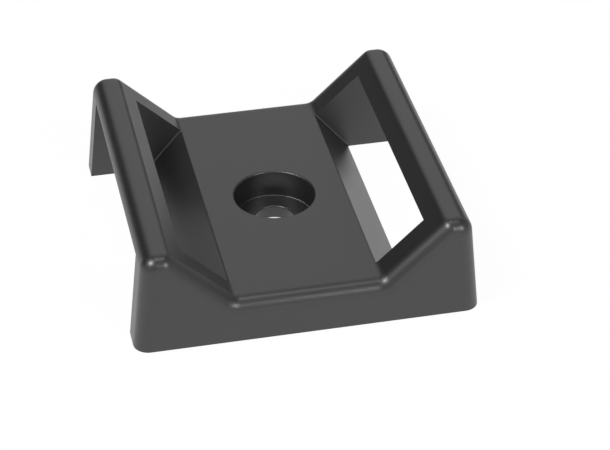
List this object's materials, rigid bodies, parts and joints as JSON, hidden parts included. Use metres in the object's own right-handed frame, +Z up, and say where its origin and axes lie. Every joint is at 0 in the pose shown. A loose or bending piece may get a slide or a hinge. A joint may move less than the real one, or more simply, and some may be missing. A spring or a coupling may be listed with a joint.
{
  "type": "cable tie mount",
  "caption": "Square screw-down mount moulded in one piece, with a cradle for a cable bundle between raised ears and a tie passage under each ear.",
  "frame": {"origin": "centre of the flat underside, on the axis of the screw hole", "axes": "+X across the two ears, +Y along the ears and the cable bundle, +Z up from the mounting surface through the screw hole"},
  "size_m": [0.0382, 0.0384, 0.0116],
  "materials": {
    "nylon": "fine moulded satin, dark grey to black"
  },
  "bodies": {
    "root": {"mount_body": "nylon"}
  },
  "joints": []
}
